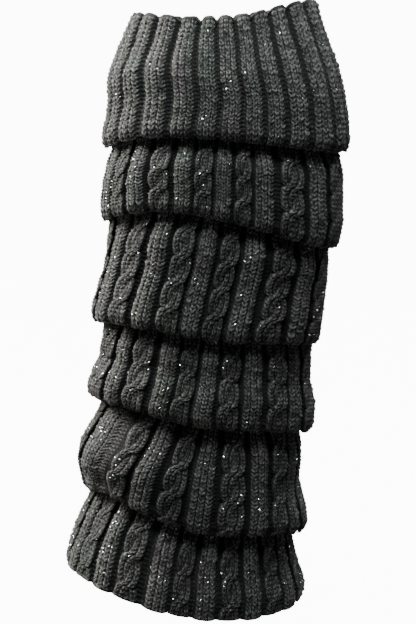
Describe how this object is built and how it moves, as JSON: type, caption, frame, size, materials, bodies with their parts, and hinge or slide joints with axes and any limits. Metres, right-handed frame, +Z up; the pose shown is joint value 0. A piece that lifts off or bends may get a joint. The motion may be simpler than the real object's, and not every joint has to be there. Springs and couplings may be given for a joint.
{
  "type": "slouched knitted leg warmer",
  "caption": "Slouched rib and cable leg warmer, a knitted tube stacked in overlapping folds with an open cuff and hem, in the round form it has on a leg.",
  "frame": {"origin": "on the leg's axis where the cuff grips the calf, a little below the rim", "axes": "+Z up the leg towards the rim, +X to the right seen from the front, -Y is the front"},
  "size_m": [0.1514, 0.1292, 0.3561],
  "materials": {
    "charcoal_knit": "dull, fluffy charcoal acrylic yarn",
    "silver_thread": "bright, narrow metallic thread that shows as scattered flecks"
  },
  "bodies": {
    "root": {"top_cuff": "charcoal_knit", "fold_tier_2": "charcoal_knit", "fold_tier_3": "charcoal_knit", "fold_tier_4": "charcoal_knit", "fold_tier_5": "charcoal_knit", "hem_tier": "charcoal_knit"}
  },
  "joints": []
}
